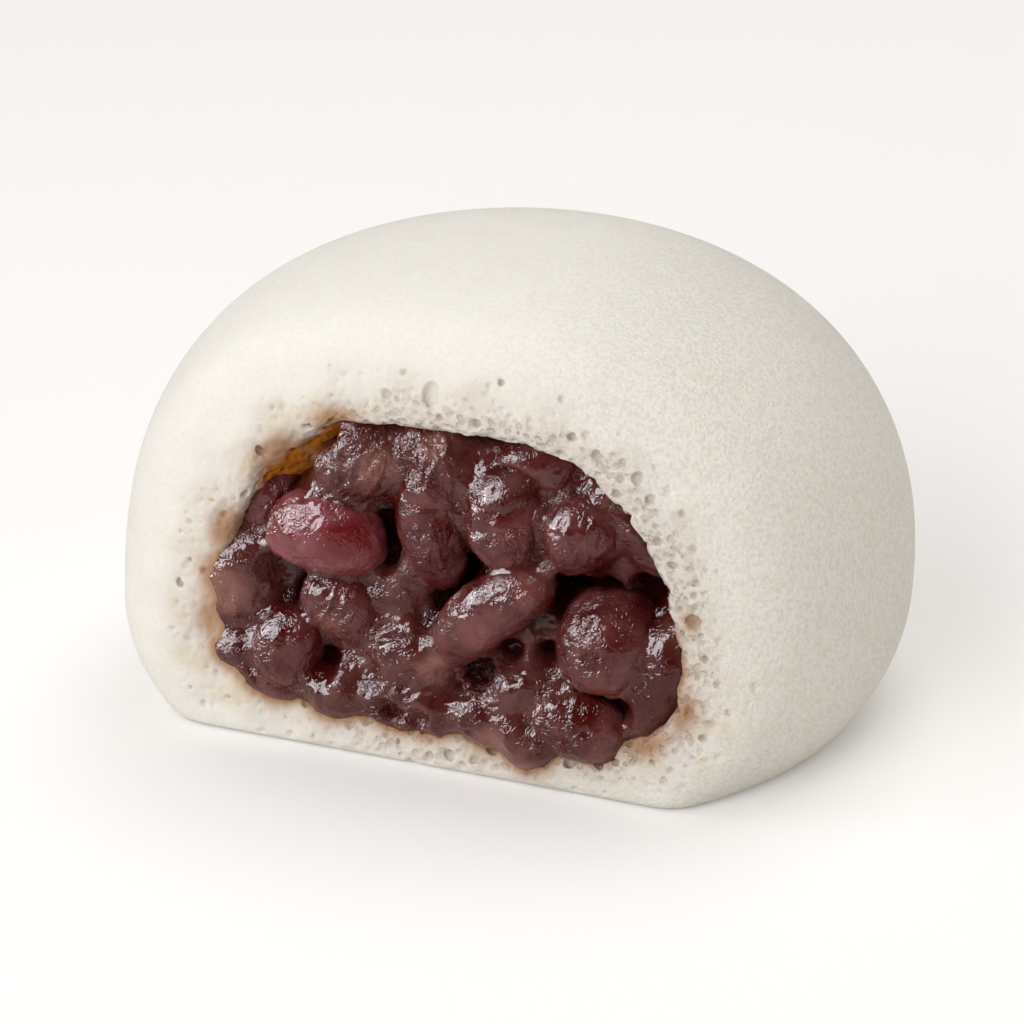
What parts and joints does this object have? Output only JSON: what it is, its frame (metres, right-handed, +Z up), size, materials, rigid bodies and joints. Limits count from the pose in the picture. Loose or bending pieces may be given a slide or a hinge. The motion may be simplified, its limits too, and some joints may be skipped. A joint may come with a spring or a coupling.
{
  "type": "steamed bean paste bun",
  "caption": "Round white steamed bun with a flat underside, torn open at the front to show a chunky, glossy red bean paste filling with whole beans.",
  "frame": {"origin": "under the middle of the whole, on the surface that the bun stands on", "axes": "+X along the tear from left to right as seen from the front, the torn side faces -Y, +Z up"},
  "size_m": [0.075, 0.0614, 0.0439],
  "materials": {
    "dough": "soft satin white steamed skin, matt open crumb at the tear",
    "bean_paste": "moist, glossy, dark red-brown mashed bean",
    "whole_beans": "wet, finely wrinkled bean skin"
  },
  "bodies": {
    "root": {"dough": "dough", "bean_paste": "bean_paste", "bean_01": "whole_beans", "bean_02": "whole_beans", "bean_03": "whole_beans", "bean_04": "whole_beans", "bean_05": "whole_beans", "bean_06": "whole_beans", "bean_07": "whole_beans", "bean_08": "whole_beans", "bean_09": "whole_beans", "bean_10": "whole_beans", "bean_11": "whole_beans"}
  },
  "joints": []
}
